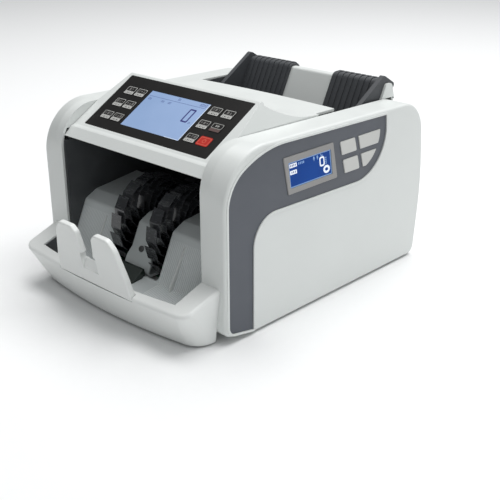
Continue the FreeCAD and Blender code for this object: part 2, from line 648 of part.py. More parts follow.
def make_note_guide():
    """Right guide: ribbed plate over the backrest, hooked over its top, with a side fence."""
    keep_out = prism_x(cover_wedge(0.35), 0, 130)
    reach = [(222.0, 117.0), (215.0, 121.0), (240.0, 200.0), (274.0, 200.0), (274.0, 170.5), (258.0, 160.0),
             (236.0, 117.0)]
    reach = slab(reach, 0, 0, 130)
    plate = prism_x(cover_wedge(2.9), GUIDE_X0, GUIDE_X1 - FENCE_T + 1).common(reach)
    ribs = []
    rib_face = prism_x(cover_wedge(3.9), 0, RIB_W).common(reach)
    for i in range(RIB_COUNT):
        rib = rib_face.copy()
        rib.translate(V(GUIDE_X0 + 2.5 + i * RIB_PITCH, 0, 0))
        ribs.append(rib)
    fence = [(206.0, 157.0), (256.2, 188.8), (274.6, 178.2), (266.0, 164.0), (240.0, 130.0), (224.0, 121.0)]
    fence = slab(fence, [6, 3.5, 3.0, 4, 10, 4], GUIDE_X1 - FENCE_T, GUIDE_X1)
    return union([plate, fence] + ribs).cut(keep_out)


# ---------------------------------------------------------------- inner frame and paper path
def make_inner_frame():
    """Right black side plate, with a bent ear that carries the cover's hinge pin."""
    points = [(-28.4, 26.6), (-28.4, 39.6), (0.6, 49.6), (2.8, 49.6), (2.8, 138.2), (24.0, 138.2),
              (60.0, 150.6), (184.0, 162.0), (185.0, 165.6), (249.0, 165.6), (217.8, 104.0), (280.0, 104.0),
              (280.0, 2.7), (20.6, 2.7), (20.6, 25.3), (-28.0, 25.3)]
    plate = slab(points, 0, FRAME_X, FRAME_X + FRAME_T)
    x1 = FRAME_X + FRAME_T
    ear = [box(x1, x1 + 3.4, 7.0, 14.0, 112.0, 138.0), box(x1 + 1.2, x1 + 3.4, 9.0, 13.0, 138.0, HINGE_Z),
           rod(x1 + 1.2, x1 + 3.4, HINGE_Y, HINGE_Z, 2.3)]
    tools = [rod(FRAME_X - 1, 110, HINGE_Y, HINGE_Z, HINGE_R + RUN_GAP)]
    for y, z in SHAFTS:
        tools.append(rod(FRAME_X - 1, 110, y, z, BUSH_R))
    tools.append(rod(FRAME_X - 1, 110, MOTOR_Y, MOTOR_Z, 6.0))
    return cut(union([plate] + ear), *tools)


def roller_slots(y, z, r):
    """Room for the pair of rollers on one shaft."""
    return [rod(x - ROLLER_W / 2 - 2, x + ROLLER_W / 2 + 2, y, z, r + 0.8) for x in (-ROLLER_X, ROLLER_X)]


def make_lower_guide():
    path = [(220.6, 108.0), (203.5, 80.5), (170.0, 79.0), (130.0, 85.0), (94.0, 87.0)]
    guide = sheet(path, 8.0, 2.0, -FRAME_X + 1.2, FRAME_X - 1.2)
    slots = roller_slots(FEED_Y, FEED_Z, FEED_R) + roller_slots(PICK_Y, PICK_Z, PICK_R)
    slots += roller_slots(EXIT_Y, EXIT_Z, EXIT_R)
    return cut(guide, *slots)


def make_upper_guide():
    """Black roof and back of the delivery opening; it ends above the feed rollers."""
    path = [(21.0, 141.5), (21.0, 135.0), (62.0, 133.5), (92.0, 112.0), (104.0, 97.0), (168.0, 93.0)]
    return sheet(path, 2.0, 2.0, -FRAME_X + 0.2, FRAME_X - 0.2)


def make_base():
    plate = box(-COLUMN_X + 0.3, COLUMN_X - 0.3, 0.2, 280.4, 0.0, WALL)
    slots = [box(-60, 60, y, y + 4, -1, 4) for y in (196, 206, 216, 226)]
    return cut(plate, *slots)


def make_feet():
    feet = []
    for x in (-FOOT_X, FOOT_X):
        for y in FOOT_Y:
            foot = Part.makeCone(FOOT_R - 1.0, FOOT_R, FOOT_H, V(x, y, -FOOT_H), V(0, 0, 1))
            feet.append(foot)
    return Part.makeCompound(feet)


# ---------------------------------------------------------------- drive
def pulley(x, y, z, r):
    """Belt pulley with a flange on each side; the belt runs between x and x + 6."""
    return [rod(x, x + 6, y, z, r), rod(x - 1.2, x, y, z, r + 2.2), rod(x + 6, x + 7.2, y, z, r + 2.2)]


def shaft(x0, x1, y, z, pulleys):
    pieces = [rod(x0, x1, y, z, SHAFT_R)]
    for x, r in pulleys:
        pieces += pulley(x, y, z, r)
    return union(pieces)


def rollers(y, z, r):
    tyres = []
    half = ROLLER_W / 2
    for x in (-ROLLER_X, ROLLER_X):
        tyre = rod(x - half, x + half, y, z, r)
        tyres.append(cut(tyre, rod(x - half - 1, x + half + 1, y, z, SHAFT_R)))
    return Part.makeCompound(tyres)


def make_exit_roller():
    pieces = [rod(-116, 97.4, EXIT_Y, EXIT_Z, SHAFT_R)] + pulley(-114, EXIT_Y, EXIT_Z, PULLEY_SMALL)
    for x in (-ROLLER_X, ROLLER_X):
        pieces.append(rod(x - ROLLER_W / 2, x + ROLLER_W / 2, EXIT_Y, EXIT_Z, EXIT_R))
    return union(pieces)


def belt(x, first, second):
    """Closed belt round two pulleys, each given as (y, z, r)."""
    def loop(extra):
        (y1, z1, r1), (y2, z2, r2) = first, second
        r1, r2 = r1 + extra, r2 + extra
        span = math.hypot(y2 - y1, z2 - z1)
        heading = math.degrees(math.atan2(z2 - z1, y2 - y1))
        lean = math.degrees(math.acos((r1 - r2) / span))
        start, end = heading + lean, heading - lean
        around1 = arc_round((y1, z1), r1, start, end + 360)
        around2 = arc_round((y2, z2), r2, end, start)
        run1 = line(on_circle((y1, z1), r1, end), on_circle((y2, z2), r2, end))
        run2 = line(on_circle((y2, z2), r2, start), on_circle((y1, z1), r1, start))
        return to_plane(Part.Wire([around1, run1, around2, run2]), "yz", 0.0)
    outer = prism_x(loop(1.3), x + 0.5, x + 5.5)
    return cut(outer, prism_x(loop(0.1), x, x + 6))


def make_belts():
    motor = (MOTOR_Y, MOTOR_Z, PULLEY_MOTOR)
    feed_small = (FEED_Y, FEED_Z, PULLEY_SMALL)
    return Part.makeCompound([
        belt(100, motor, (FEED_Y, FEED_Z, PULLEY_BIG)),
        belt(109, motor, (FAN_Y, FAN_Z, PULLEY_BIG)),
        belt(-105, feed_small, (PICK_Y, PICK_Z, PULLEY_SMALL)),
        belt(-114, feed_small, (EXIT_Y, EXIT_Z, PULLEY_SMALL))])


def make_motor():
    can = rod(44, FRAME_X, MOTOR_Y, MOTOR_Z, MOTOR_R)
    ring = rod(54, 62, MOTOR_Y, MOTOR_Z, MOTOR_R + 1)
    feet = box(50, 88, MOTOR_Y - 18, MOTOR_Y + 18, WALL, 20)
    nose = rod(40, 44, MOTOR_Y, MOTOR_Z, 9)
    bore = rod(60, FRAME_X + 1, MOTOR_Y, MOTOR_Z, 3.05)
    return cut(union([can, ring, feet, nose]), bore)


def make_motor_pulley():
    pieces = [rod(64, 117, MOTOR_Y, MOTOR_Z, 3.0)]
    pieces += pulley(100, MOTOR_Y, MOTOR_Z, PULLEY_MOTOR) + pulley(109, MOTOR_Y, MOTOR_Z, PULLEY_MOTOR)
    return union(pieces)


def make_bearings():
    rings = []
    for y, z in SHAFTS:
        for side in (-1, 1):
            x0, x1 = sorted((side * (FRAME_X - 0.9), side * (FRAME_X + FRAME_T + 1.8)))
            ring = rod(x0, x1, y, z, BUSH_R)
            rings.append(cut(ring, rod(x0 - 1, x1 + 1, y, z, SHAFT_R + RUN_GAP)))
    return Part.makeCompound(rings)


def make_retard_roller():
    """Fixed rubber roller above the feed rollers, with its mounting bar."""
    bar = box(-FRAME_X + 0.1, FRAME_X - 0.1, RETARD_Y - 4, RETARD_Y + 4, RETARD_Z + 4, RETARD_Z + 16)
    half = ROLLER_W / 2 + 1
    rolls = [rod(x - half, x + half, RETARD_Y, RETARD_Z, RETARD_R) for x in (-ROLLER_X, ROLLER_X)]
    return union([bar] + rolls)


# ---------------------------------------------------------------- electrics
def make_main_board():
    board = box(-84, 84, 22, 116, 7.0, 8.6)
    posts = [Part.makeCylinder(3, 4.5, V(x, y, WALL)) for x in (-78, 78) for y in (28, 110)]
    chips = [box(-70, -40, 30, 52, 8.6, 10.8), box(46, 62, 34, 50, 8.6, 10.4), box(-12, 12, 88, 100, 8.6, 18),
             box(60, 80, 70, 102, 8.6, 16)]
    return union([board] + posts + chips)


def make_power_supply():
    board = box(-86, -6, 130, 240, 7.0, 8.6)
    posts = [Part.makeCylinder(3, 4.5, V(x, y, WALL)) for x in (-80, -12) for y in (136, 234)]
    core = box(-72, -30, 150, 186, 8.6, 44)
    cans = [Part.makeCylinder(8, 26, V(x, 214, 8.6)) for x in (-70, -46)]
    sink = box(-24, -18, 140, 200, 8.6, 36)
    return union([board, core, sink] + posts + cans)


def make_inlet():
    """Mains inlet socket with its flange and three pins."""
    y1 = BACK_Y
    flange = box(INLET_X - 15, INLET_X + 15, y1 - 1.3, y1, INLET_Z - 11, INLET_Z + 11)
    body = box(INLET_X - 13.6, INLET_X + 13.6, 260.0, y1 - 1, INLET_Z - 9.6, INLET_Z + 9.6)
    mouth = [(INLET_X - 12, INLET_Z - 8), (INLET_X + 12, INLET_Z - 8), (INLET_X + 12, INLET_Z + 3),
             (INLET_X + 7, INLET_Z + 8), (INLET_X - 7, INLET_Z + 8), (INLET_X - 12, INLET_Z + 3)]
    mouth = Part.Face(rounded(mouth, 1.0, "xz", y1 + 1)).extrude(V(0, -18, 0))
    pins = [box(INLET_X + x - 1, INLET_X + x + 1, 264, 279, INLET_Z + z - 2.5, INLET_Z + z + 2.5)
            for x, z in ((-7, -2), (7, -2), (0, 2))]
    return union([cut(union([flange, body]), mouth)] + pins)


def make_switch():
    """Rocker, seen with its lower half pressed in."""
    points = [(-8.6, 0), (8.6, 0), (8.6, 5.2), (0, 3.4), (-8.6, 5.2)]
    face = Part.Face(rounded(points, 0, "xy", INLET_Z - 5.8))
    rocker = face.extrude(V(0, 0, 11.6))
    rocker.rotate(V(0, 0, 0), V(0, 0, 1), SWITCH_TILT)
    rocker.translate(V(SWITCH_X, SWITCH_Y, 0))
    return rocker


def make_switch_housing():
    flange = box(SWITCH_X - 12.5, SWITCH_X + 12.5, BACK_Y - 1.3, BACK_Y, INLET_Z - 9.5, INLET_Z + 9.5)
    body = box(SWITCH_X - 11, SWITCH_X + 11, 266.0, BACK_Y - 1, INLET_Z - 8, INLET_Z + 8)
    room = box(SWITCH_X - 9.6, SWITCH_X + 9.6, 276.0, 290.0, INLET_Z - 6.1, INLET_Z + 6.1)
    return cut(union([flange, body]), room)


def make_port():
    """Socket for an external display."""
    body = box(PORT_X - 8, PORT_X + 8, 266, 284.4, INLET_Z - 6.5, INLET_Z + 6.5)
    return cut(body, box(PORT_X - 6, PORT_X + 6, 270, 290, INLET_Z - 4.5, INLET_Z + 4.5))


def screw(point, direction):
    """Pan-head screw: the shank runs from the point along the direction."""
    shank = Part.makeCylinder(1.5, 8.0, point, direction)
    head = Part.makeCylinder(3.0, 1.8, point - direction * 1.8, direction)
    rim = [e for e in head.Edges if e.BoundBox.Center.distanceToPoint(point - direction * 1.8) < 0.01]
    return union([head.makeFillet(0.8, rim), shank])


def make_screws():
    """Five identical screws: one in the tongue and four in the rear cover."""
    screws = [screw(TONGUE_SCREW, TONGUE_NORMAL)]
    for x, y, z in REAR_SCREWS:
        screws.append(screw(V(x, y, z), V(0, -1, 0)))
    return Part.makeCompound(screws)


# ---------------------------------------------------------------- assembly
def housing():
    shell, left_shell = both_sides(make_shell)
    band, left_band = both_sides(make_band)
    parts = {"right_shell": cut(shell, control_window()), "left_shell": left_shell,
             "right_band": cut(band, *right_band_openings()), "left_band": left_band,
             "front_tray": make_tray(), "note_stop": make_note_stop(), "rear_cover": make_rear_cover(),
             "top_cover": make_top_cover(), "cover_hinge_pins": make_hinge_pins(),
             "base_plate": make_base(), "rubber_feet": make_feet(), "screws": make_screws()}
    parts.update(make_side_controls())
    parts.update(make_panel())
    return parts


def paper_path():
    frame, left_frame = both_sides(make_inner_frame)
    guide, left_guide = both_sides(make_note_guide)
    wheel, left_wheel = both_sides(fan_wheel)
    tongue_hole = Part.makeCylinder(1.6, 6, TONGUE_SCREW - TONGUE_NORMAL * 2, TONGUE_NORMAL)
    return {"right_inner_frame": frame, "left_inner_frame": left_frame,
            "right_note_guide": guide, "left_note_guide": left_guide,
            "right_fan_wheel": wheel, "left_fan_wheel": left_wheel,
            "stacker_plate": make_stacker(), "stacker_tongue": cut(make_tongue(), tongue_hole),
            "lower_guide": make_lower_guide(), "upper_guide": make_upper_guide(),
            "retard_roller": make_retard_roller()}


def drive():
    return {"fan_shaft": shaft(-97.4, 117, FAN_Y, FAN_Z, [(109, PULLEY_BIG)]),
            "feed_shaft": shaft(-116, 108, FEED_Y, FEED_Z,
                                [(100, PULLEY_BIG), (-105, PULLEY_SMALL), (-114, PULLEY_SMALL)]),
            "feed_rollers": rollers(FEED_Y, FEED_Z, FEED_R),
            "pickup_shaft": shaft(-107, 97.4, PICK_Y, PICK_Z, [(-105, PULLEY_SMALL)]),
            "pickup_rollers": rollers(PICK_Y, PICK_Z, PICK_R),
            "exit_roller": make_exit_roller(), "drive_motor": make_motor(),
            "motor_pulley": make_motor_pulley(), "drive_belts": make_belts(),
            "shaft_bearings": make_bearings()}


def electrics():
    return {"main_board": make_main_board(), "power_supply": make_power_supply(),
            "mains_inlet": make_inlet(), "switch_housing": make_switch_housing(),
            "mains_switch": make_switch(), "rear_port": make_port()}


def build():
    """All parts, moved so that the origin is the bottom centre of the whole machine."""
    parts = {}
    for group in (housing, paper_path, drive, electrics):
        parts.update(group())
    boxes = [shape.optimalBoundingBox() for shape in parts.values()]
    middle_y = (min(b.YMin for b in boxes) + max(b.YMax for b in boxes)) / 2
    for shape in parts.values():
        shape.translate(V(0, -middle_y, FOOT_H))
    return parts, middle_y


def save_parts():
    os.makedirs("parts", exist_ok=True)
    parts, middle_y = build()
    for name, shape in parts.items():
        shape.exportStep("parts/%s.step" % name)
    print(len(parts), "parts; centre moved back by %.3f mm" % middle_y)


if __name__ == "__main__":
    save_parts()
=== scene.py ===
import json
import math

import bmesh
import bpy
from mathutils import Matrix, Vector


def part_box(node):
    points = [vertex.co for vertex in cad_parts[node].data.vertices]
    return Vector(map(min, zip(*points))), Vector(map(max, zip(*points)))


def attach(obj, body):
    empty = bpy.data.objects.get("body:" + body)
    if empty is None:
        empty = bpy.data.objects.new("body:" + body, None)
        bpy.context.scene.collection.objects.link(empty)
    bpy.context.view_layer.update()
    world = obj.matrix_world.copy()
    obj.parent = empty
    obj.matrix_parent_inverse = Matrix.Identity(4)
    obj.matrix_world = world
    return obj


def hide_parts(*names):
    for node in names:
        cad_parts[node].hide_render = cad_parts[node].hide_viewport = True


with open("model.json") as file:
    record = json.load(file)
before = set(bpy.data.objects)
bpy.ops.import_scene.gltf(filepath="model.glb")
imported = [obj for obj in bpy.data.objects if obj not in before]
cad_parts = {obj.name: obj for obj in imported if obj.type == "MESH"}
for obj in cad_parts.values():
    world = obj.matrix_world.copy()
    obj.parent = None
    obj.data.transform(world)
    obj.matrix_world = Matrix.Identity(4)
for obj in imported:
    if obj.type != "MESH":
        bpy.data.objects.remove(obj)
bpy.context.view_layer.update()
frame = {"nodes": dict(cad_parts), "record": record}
NODES = frame["nodes"]
RECORD = frame["record"]
MM = 0.001
scene = bpy.context.scene

# Everything below is written in machine millimetres, as the parts are drawn: x to the right, y from the
# front faces of the side columns, z from the lower edge of the side shells.
SHELL_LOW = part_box("right_shell")[0]
FRONT_Y, BOTTOM_Z = SHELL_LOW.y, SHELL_LOW.z


def at(x, y, z):
    """Row-frame point, in metres, of a machine point in millimetres."""
    return Vector((x * MM, FRONT_Y + y * MM, BOTTOM_Z + z * MM))


# ---------------------------------------------------------------- node graphs
class Look:
    """Node graph of one material, built a node at a time."""

    def __init__(self, name):
        self.material = bpy.data.materials.new(name)
        self.material.use_nodes = True
        self.tree = self.material.node_tree
        self.shader = self.tree.nodes["Principled BSDF"]
        self.place = self.add("ShaderNodeTexCoord").outputs["Object"]

    def add(self, kind, inputs=None, **settings):
        """New node, with settings of its own and values or links for its inputs."""
        node = self.tree.nodes.new(kind)
        for name, value in settings.items():
            setattr(node, name, value)
        for name, value in (inputs or {}).items():
            self.set(node.inputs[name], value)
        return node

    def set(self, socket, value):
        if isinstance(value, bpy.types.NodeSocket):
            self.tree.links.new(value, socket)
        elif isinstance(value, (tuple, list)) and len(value) == 3 and socket.type == "RGBA":
            socket.default_value = (*value, 1.0)
        else:
            socket.default_value = value

    def finish(self, **inputs):
        """Feed the shader's inputs, with _ for the spaces in their names."""
        for name, value in inputs.items():
            self.set(self.shader.inputs[name.replace("_", " ")], value)
        return self.material

    def noise(self, size, detail=2.0, rough=0.5, stretch=(1, 1, 1), warp=0.0):
        """Noise whose features are about size millimetres."""
        moved = self.add("ShaderNodeMapping", {"Vector": self.place, "Scale": stretch}).outputs[0]
        inputs = {"Vector": moved, "Scale": 1000.0 / size, "Detail": detail, "Roughness": rough,
                  "Distortion": warp}
        return self.add("ShaderNodeTexNoise", inputs).outputs[0]

    def cells(self, size):
        """Distance to the nearest of many scattered points, about size millimetres apart."""
        inputs = {"Vector": self.place, "Scale": 1000.0 / size}
        return self.add("ShaderNodeTexVoronoi", inputs).outputs["Distance"]

    def maths(self, operation, a, b=0.5, c=None):
        node = self.add("ShaderNodeMath", operation=operation)
        self.set(node.inputs[0], a)
        self.set(node.inputs[1], b)
        if c is not None:
            self.set(node.inputs[2], c)
        return node.outputs[0]

    def span(self, value, low, high, to_low=0.0, to_high=1.0):
        """Value carried from one range to another."""
        inputs = {"Value": value, "From Min": low, "From Max": high, "To Min": to_low, "To Max": to_high}
        return self.add("ShaderNodeMapRange", inputs).outputs[0]

    def mix(self, share, a, b, blend="MIX"):
        node = self.add("ShaderNodeMix", data_type="RGBA", blend_type=blend)
        self.set(node.inputs[0], share)
        self.set(node.inputs[6], a)
        self.set(node.inputs[7], b)
        return node.outputs[2]

    def axes(self):
        return self.add("ShaderNodeSeparateXYZ", {"Vector": self.place}).outputs

    def soft_normal(self, radius):
        """Shading normal that rounds every edge over radius millimetres."""
        return self.add("ShaderNodeBevel", {"Radius": radius * MM}, samples=4).outputs[0]

    def edges(self, radius, sharp=0.06):
        """1 along edges, 0 on open faces."""
        soft = self.soft_normal(radius)
        flat = self.add("ShaderNodeNewGeometry").outputs["Normal"]
        dot = self.add("ShaderNodeVectorMath", operation="DOT_PRODUCT")
        self.set(dot.inputs[0], soft)
        self.set(dot.inputs[1], flat)
        return self.span(dot.outputs["Value"], 1.0 - sharp * 0.1, 1.0 - sharp, 0.0, 1.0)

    def creases(self, reach):
        """Ambient occlusion: 0 in creases and slots, 1 in the open, used for painted shade."""
        return self.add("ShaderNodeAmbientOcclusion", {"Distance": reach * MM}, samples=6).outputs["AO"]

    def bump(self, height, depth, normal=None, strength=1.0):
        inputs = {"Height": height, "Distance": depth * MM, "Strength": strength}
        if normal is not None:
            inputs["Normal"] = normal
        return self.add("ShaderNodeBump", inputs).outputs[0]


def shade(colour, factor):
    """Lighter or darker version of a colour."""
    return tuple(min(1.0, c * factor) for c in colour)


# ---------------------------------------------------------------- materials
def plastic(name, colour, rough=0.38, mottle=0.03, grain=0.45, depth=0.012, edge=0.35, wear_and_highlight=0.12,
            dust=0.0, coat=0.0):
    """Moulded plastic: spark-eroded grain, slow drift of tone, polished edges painted lighter for wear and
    as a painted highlight, painted shade in creases.
    """
    look = Look(name)
    drift = look.noise(70, 3)
    speck = look.noise(1.6, 4, 0.7)
    tone = look.mix(look.span(drift, 0.3, 0.7), shade(colour, 1 - mottle), shade(colour, 1 + mottle))
    tone = look.mix(look.span(speck, 0.62, 0.8, 0.0, 0.06), tone, shade(colour, 0.75))
    # edges painted lighter: part wear, part painted highlight; the same mask also polishes them
    worn_highlit_edges = look.edges(edge * 1.6)
    tone = look.mix(look.maths("MULTIPLY", worn_highlit_edges, wear_and_highlight), tone, shade(colour, 1.25))
    # painted shade: creases and slots darkened by ambient occlusion
    crease_shade_ao = look.creases(5.0)
    tone = look.mix(look.span(crease_shade_ao, 0.15, 0.75, 0.22, 0.0), tone, shade(colour, 0.35))
    if dust:
        up = look.add("ShaderNodeNewGeometry").outputs["Normal"]
        up = look.add("ShaderNodeSeparateXYZ", {"Vector": up}).outputs[2]
        patches = look.span(look.noise(2.5, 5, 0.7), 0.5, 0.8)
        settled = look.maths("MULTIPLY", look.span(up, 0.3, 1.0), patches)
        tone = look.mix(look.maths("MULTIPLY", settled, dust), tone, (0.5, 0.49, 0.47))
    smear = look.noise(26, 4, 0.6, (1, 1, 2.2), 0.6)
    gloss = look.span(smear, 0.3, 0.75, rough - 0.05, rough + 0.07)
    gloss = look.maths("SUBTRACT", gloss, look.maths("MULTIPLY", worn_highlit_edges, 0.08))
    fine = look.noise(grain, 2, 0.6)
    normal = look.bump(fine, depth, look.soft_normal(edge))
    return look.finish(Base_Color=tone, Roughness=gloss, Normal=normal, Coat_Weight=coat,
                       Coat_Roughness=0.15, IOR=1.5)


def overlay(name, colour, rough=0.3):
    """Printed polyester film: very fine emboss, smooth sheen, a little tone drift."""
    look = Look(name)
    drift = look.noise(40, 3)
    tone = look.mix(look.span(drift, 0.3, 0.7), shade(colour, 0.85), shade(colour, 1.2))
    lint = look.noise(0.9, 3, 0.7)
    tone = look.mix(look.span(lint, 0.68, 0.85, 0.0, 0.25), tone, shade(colour, 3.0))
    gloss = look.span(look.noise(18, 4, 0.6, (1, 1.6, 1), 0.8), 0.3, 0.75, rough - 0.06, rough + 0.1)
    normal = look.bump(look.cells(0.35), 0.006, look.soft_normal(0.12))
    return look.finish(Base_Color=tone, Roughness=gloss, Normal=normal, IOR=1.5, Specular_IOR_Level=0.22)


def backlit(name, low, high, glow, grid=0.5, dark=0.9, coat=0.35, gloss=0.3):
    """Backlit display: dot grid, uneven glow, glossy front."""
    look = Look(name)
    x = look.axes()[0]
    spread = look.span(look.noise(45, 2), 0.3, 0.7)
    ramp = look.span(x, -0.04, 0.04, 0.0, 1.0)
    blend = look.maths("ADD", look.maths("MULTIPLY", spread, 0.5), look.maths("MULTIPLY", ramp, 0.5))
    tone = look.mix(blend, low, high)
    lines = look.add("ShaderNodeTexChecker", {"Vector": look.place, "Scale": 1000.0 / grid})
    tone = look.mix(look.maths("MULTIPLY", lines.outputs["Fac"], 1 - dark), tone, shade(low, 0.5))
    normal = look.bump(look.noise(0.4, 1), 0.002, look.soft_normal(0.1))
    return look.finish(Base_Color=tone, Roughness=0.22, Emission_Color=tone, Emission_Strength=glow,
                       Coat_Weight=coat, Coat_Roughness=0.08, Normal=normal, Specular_IOR_Level=gloss)


def print_ink(name, colour, glow=0.0):
    """Screen-printed ink: slightly uneven cover and a satin film."""
    look = Look(name)
    cover = look.noise(0.5, 3, 0.7)
    tone = look.mix(look.span(cover, 0.35, 0.75), colour, shade(colour, 0.82))
    normal = look.bump(look.noise(0.2, 1), 0.004)
    return look.finish(Base_Color=tone, Roughness=look.span(cover, 0.3, 0.8, 0.42, 0.55), Normal=normal,
                       Emission_Color=tone, Emission_Strength=glow)


def metal(name, colour, rough=0.28, along=(30, 1, 1), depth=0.004, size=0.6):
    """Machined metal: fine tool marks stretched one way, stains and softened edges."""
    look = Look(name)
    marks = look.noise(size, 3, 0.6, along)
    stain = look.noise(9, 4, 0.6)
    tone = look.mix(look.span(stain, 0.35, 0.75, 0.0, 0.5), colour, shade(colour, 0.72))
    gloss = look.maths("ADD", look.span(marks, 0.3, 0.7, rough - 0.06, rough + 0.1),
                       look.span(stain, 0.5, 0.8, 0.0, 0.12))
    normal = look.bump(marks, depth, look.soft_normal(0.2))
    return look.finish(Base_Color=tone, Metallic=1.0, Roughness=gloss, Normal=normal)


def powder(name, colour, rough=0.5):
    """Powder-coated sheet: orange-peel surface with slight dust."""
    look = Look(name)
    peel = look.noise(0.7, 3, 0.6)
    tone = look.mix(look.span(look.noise(35, 3), 0.3, 0.7), shade(colour, 0.8), shade(colour, 1.25))
    tone = look.mix(look.span(look.noise(1.2, 4, 0.7), 0.66, 0.85, 0.0, 0.12), tone, (0.3, 0.3, 0.29))
    gloss = look.span(peel, 0.3, 0.7, rough - 0.06, rough + 0.1)
    normal = look.bump(peel, 0.02, look.soft_normal(0.3))
    return look.finish(Base_Color=tone, Roughness=gloss, Normal=normal)


def rubber(name, colour, rough=0.62, along=(1, 1, 1), depth=0.03):
    """Ground rubber: matte, with grinding marks and pale bloom."""
    look = Look(name)
    marks = look.noise(0.5, 3, 0.6, along)
    bloom = look.noise(7, 4, 0.65)
    tone = look.mix(look.span(bloom, 0.45, 0.8, 0.0, 0.4), colour, shade(colour, 1.9))
    gloss = look.span(bloom, 0.3, 0.75, rough - 0.06, rough + 0.12)
    normal = look.bump(marks, depth, look.soft_normal(0.25))
    return look.finish(Base_Color=tone, Roughness=gloss, Normal=normal)


def blade_plastic(name, colour):
    """Glossy springy plastic of the stacking wheels, with rubbed streaks and paper dust."""
    look = Look(name)
    streak = look.noise(2.4, 4, 0.65, (0.25, 1, 1), 0.4)
    dust = look.noise(1.1, 4, 0.7)
    tone = look.mix(look.span(streak, 0.45, 0.8, 0.0, 0.5), colour, shade(colour, 2.4))
    tone = look.mix(look.span(dust, 0.66, 0.85, 0.0, 0.15), tone, (0.35, 0.34, 0.33))
    gloss = look.span(streak, 0.3, 0.75, 0.16, 0.34)
    normal = look.bump(streak, 0.03, look.soft_normal(0.2))
    return look.finish(Base_Color=tone, Roughness=gloss, Normal=normal, Coat_Weight=0.2, IOR=1.5)


def circuit_board(name):
    """Green solder mask over copper tracks, with pads and pale legend."""
    look = Look(name)
    tracks = look.add("ShaderNodeTexBrick", {"Vector": look.place, "Scale": 240.0, "Mortar Size": 0.09,
                                             "Color1": (0, 0, 0, 1), "Color2": (0.2, 0.2, 0.2, 1),
                                             "Mortar": (1, 1, 1, 1)}, offset=0.37).outputs["Fac"]
    pads = look.span(look.cells(4.0), 0.1, 0.13, 1.0, 0.0)
    tone = look.mix(tracks, (0.012, 0.14, 0.05), (0.03, 0.26, 0.1))
    tone = look.mix(pads, tone, (0.62, 0.52, 0.3))
    normal = look.bump(look.maths("ADD", tracks, pads), 0.04, look.soft_normal(0.2))
    return look.finish(Base_Color=tone, Metallic=look.maths("MULTIPLY", pads, 0.8), Roughness=0.35,
                       Normal=normal)


LOOKS = {
    "housing_white": plastic("housing_white", (0.70, 0.725, 0.71), 0.36, 0.012, 0.5, 0.010, 0.4, 0.5),
    "tray_white": plastic("tray_white", (0.78, 0.80, 0.785), 0.40, 0.015, 0.5, 0.012, 0.4, 0.5),
    "band_grey": plastic("band_grey", (0.080, 0.089, 0.107), 0.44, 0.04, 0.4, 0.016, 0.25, 0.3),
    "stacker_grey": plastic("stacker_grey", (0.58, 0.615, 0.615), 0.40, 0.05, 0.4, 0.016, 0.25, 0.3),
    "inner_black": powder("inner_black", (0.058, 0.062, 0.066)),
    "guide_black": plastic("guide_black", (0.054, 0.058, 0.064), 0.55, 0.12, 0.45, 0.03, 0.3, 0.25, 0.04),
    "wheel_black": blade_plastic("wheel_black", (0.036, 0.038, 0.042)),
    "membrane_black": overlay("membrane_black", (0.0085, 0.008, 0.0075), 0.45),
    "key_black": overlay("key_black", (0.0095, 0.009, 0.0085), 0.38),
    "key_red": overlay("key_red", (0.42, 0.024, 0.017), 0.40),
    "lcd_main": backlit("lcd_main", (0.235, 0.345, 0.56), (0.31, 0.42, 0.65), 0.20),
    "lcd_side": backlit("lcd_side", (0.002, 0.030, 0.19), (0.005, 0.060, 0.30), 0.12, 0.5, 0.9, 0.0, 0.08),
    "frame_grey": plastic("frame_grey", (0.27, 0.265, 0.26), 0.36, 0.04, 0.4, 0.012, 0.25, 0.4),
    "button_grey": plastic("button_grey", (0.56, 0.565, 0.545), 0.36, 0.02, 0.4, 0.010, 0.3, 0.4),
    "steel": metal("steel", (0.55, 0.55, 0.54)),
    "roller_rubber": rubber("roller_rubber", (0.10, 0.10, 0.11), 0.6, (40, 1, 1)),
    "belt_rubber": rubber("belt_rubber", (0.02, 0.02, 0.02)),
    "bush_brass": metal("bush_brass", (0.55, 0.40, 0.17), 0.36, (1, 1, 1)),
    "motor_steel": metal("motor_steel", (0.33, 0.34, 0.34), 0.38, (1, 6, 6)),
    "board_green": circuit_board("board_green"),
    "socket_black": plastic("socket_black", (0.016, 0.016, 0.017), 0.45, 0.1, 0.4, 0.02, 0.25, 0.3),
    "foot_rubber": rubber("foot_rubber", (0.018, 0.018, 0.018), 0.7),
}
INK_PALE = print_ink("ink_pale", (0.40, 0.40, 0.38))
INK_STRIP = print_ink("ink_strip", (0.52, 0.52, 0.50))
INK_GREY = print_ink("ink_grey", (0.16, 0.155, 0.15))
INK_DARK = print_ink("ink_dark", (0.03, 0.028, 0.026))
INK_DIM = print_ink("ink_dim", (0.11, 0.065, 0.06))
INK_SCARLET = print_ink("ink_scarlet", (0.62, 0.10, 0.06))
LCD_NAVY = print_ink("lcd_navy", (0.030, 0.035, 0.20))
LCD_SOFT = print_ink("lcd_soft", (0.11, 0.16, 0.38))
# painted highlight: glowing pale ink for the glint along the display's edges
LCD_GLINT = print_ink("lcd_painted_glint", (0.70, 0.80, 0.98), 0.25)
LCD_WHITE = print_ink("lcd_white", (0.80, 0.86, 0.95), 0.30)
LCD_SKY = print_ink("lcd_sky", (0.20, 0.36, 0.66), 0.18)
